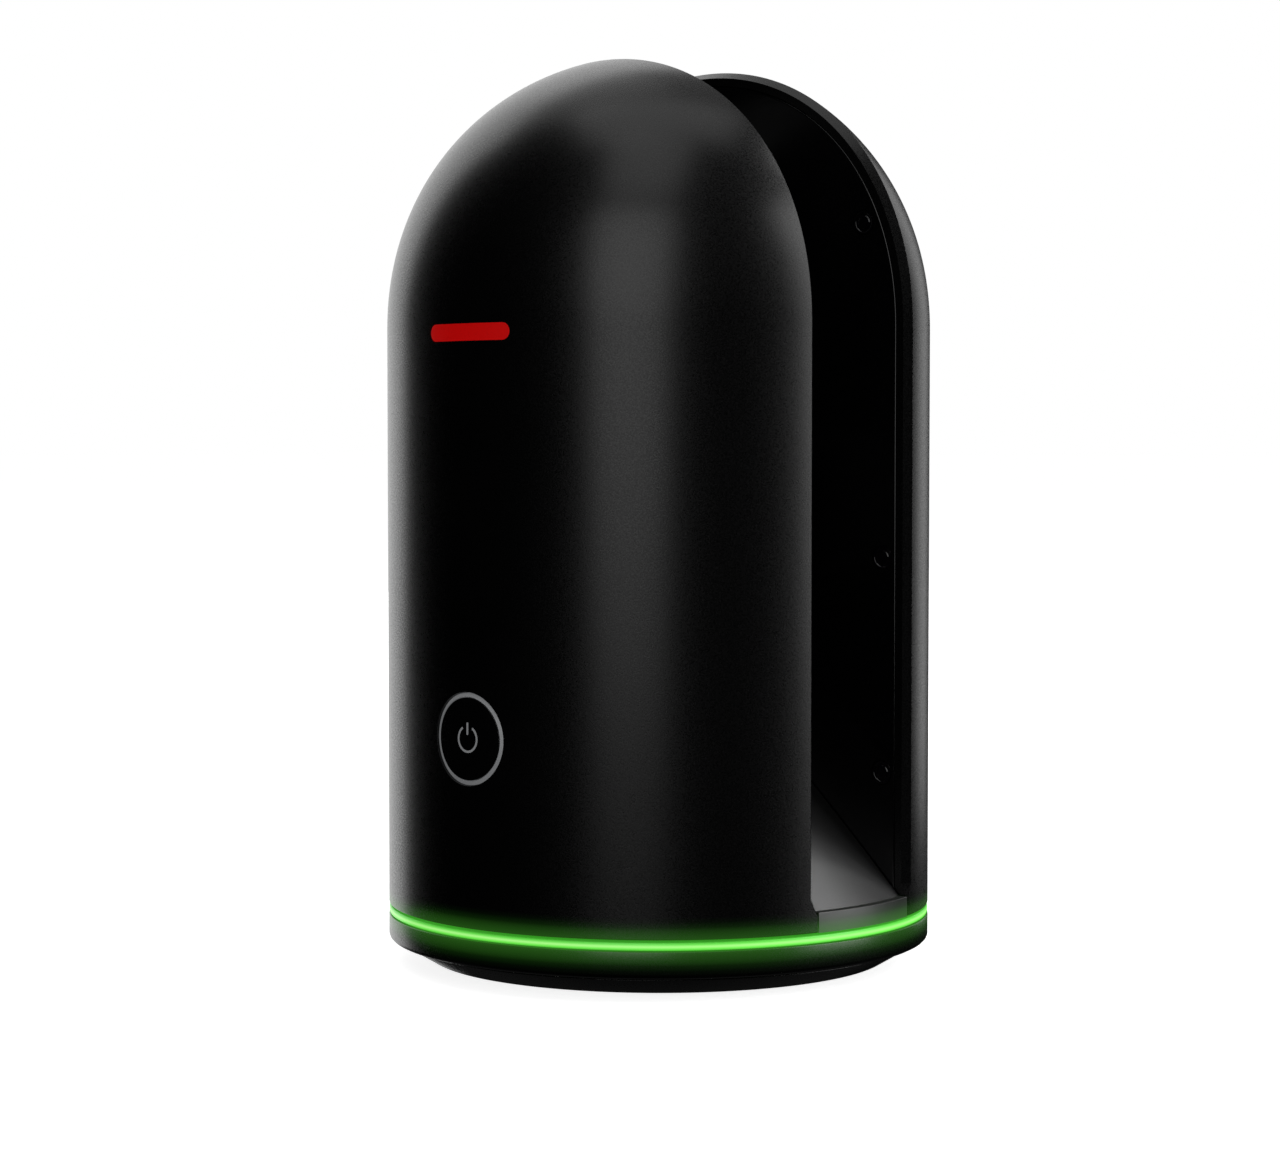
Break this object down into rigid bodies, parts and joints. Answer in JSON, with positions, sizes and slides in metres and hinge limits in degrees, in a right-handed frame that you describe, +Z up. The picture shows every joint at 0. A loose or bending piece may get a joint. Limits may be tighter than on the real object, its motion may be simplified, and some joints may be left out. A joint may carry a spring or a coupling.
{
  "type": "terrestrial laser scanner",
  "caption": "Compact domed laser scanner: two black shell halves around a slot with a spinning mirror, turning on a round base with a light ring.",
  "frame": {"origin": "centre of the foot on the surface it stands on", "axes": "+Z up along the turning axis; the slot runs along X; the front shell with the button faces -Y"},
  "size_m": [0.1, 0.1, 0.1646],
  "materials": {
    "shell_metal": "black anodised, fine satin grain",
    "base_metal": "black anodised, satin",
    "floor_metal": "black anodised, matt blasted",
    "gloss_panel": "piano black, polished",
    "light_guide": "milky diffuser lit green",
    "button_light": "milky grey light guide, unlit",
    "lens_glass": "coated optical glass, dark",
    "mirror": "first-surface mirror",
    "rubber": "matt",
    "inner_metal": "machined",
    "steel": "ground",
    "brass": "machined",
    "inner_plastic": "moulded, fine texture",
    "circuit_board": "solder resist",
    "battery": "shrink-wrapped pack, smooth"
  },
  "bodies": {
    "base": {"base_housing": "base_metal", "base_cover": "base_metal", "foot_pad": "rubber", "light_ring": "light_guide", "led_board": "circuit_board", "tripod_insert": "steel", "base_screw_1": "steel", "base_screw_2": "steel", "base_screw_3": "steel", "slip_ring": "inner_plastic", "bearing_outer_race": "steel", "azimuth_encoder_disc": "steel", "azimuth_gear": "brass"},
    "head": {"turntable": "inner_metal", "bearing_inner_race": "steel", "encoder_reader": "inner_plastic", "azimuth_motor": "inner_metal", "slot_floor": "floor_metal", "front_shell": "shell_metal", "rear_shell": "shell_metal", "front_panel": "gloss_panel", "rear_panel": "gloss_panel", "front_frame": "inner_metal", "rear_frame": "inner_metal", "button_light_ring": "button_light", "button_switch": "inner_plastic", "button_board": "circuit_board", "door_hinge_pin": "steel", "battery_tray": "inner_plastic", "battery_pack": "battery", "mirror_bearing": "steel", "mirror_motor": "inner_metal", "motor_bracket": "inner_metal", "laser_window": "lens_glass", "receiver_lens": "lens_glass", "rangefinder_tube": "inner_metal", "laser_module": "inner_metal", "camera_window_1": "lens_glass", "camera_window_2": "lens_glass", "camera_window_3": "lens_glass", "camera_module_1": "inner_plastic", "camera_module_2": "inner_plastic", "camera_module_3": "inner_plastic", "main_board": "circuit_board", "power_board": "circuit_board", "imu_board": "circuit_board", "heat_spreader": "inner_metal", "antenna": "brass"},
    "mirror_rotor": {"mirror_carrier": "inner_metal", "scan_mirror": "mirror", "mirror_shaft": "steel", "mirror_encoder_disc": "steel"},
    "button": {"power_button": "shell_metal"},
    "pinion": {"azimuth_pinion": "brass"},
    "door": {"battery_door": "shell_metal"},
    "latch": {"door_latch": "inner_plastic"}
  },
  "joints": [
    {"name": "head_turn", "type": "hinge", "parent": "base", "child": "head", "pos_m": [0, 0, 0.0069], "axis": [0, 0, 1], "continuous": true},
    {"name": "mirror_spin", "type": "hinge", "parent": "head", "child": "mirror_rotor", "pos_m": [0, 0, 0.084], "axis": [0, 1, 0], "continuous": true},
    {"name": "pinion_spin", "type": "hinge", "parent": "head", "child": "pinion", "pos_m": [0, -0.028, 0.00975], "axis": [0, 0, 1], "continuous": true},
    {"name": "button_press", "type": "slide", "parent": "head", "child": "button", "axis": [0, 1, 0], "range_m": [0, 0.0006], "stiffness_N_per_m": 1500},
    {"name": "door_open", "type": "hinge", "parent": "head", "child": "door", "pos_m": [0, 0.048, 0.0159], "axis": [-1, 0, 0], "range_deg": [0, 85]},
    {"name": "latch_slide", "type": "slide", "parent": "door", "child": "latch", "axis": [0, 0, -1], "range_m": [0, 0.0018], "stiffness_N_per_m": 400}
  ],
  "couplings": [
    {"joint": "pinion_spin", "follows": "head_turn", "ratio": 6}
  ]
}
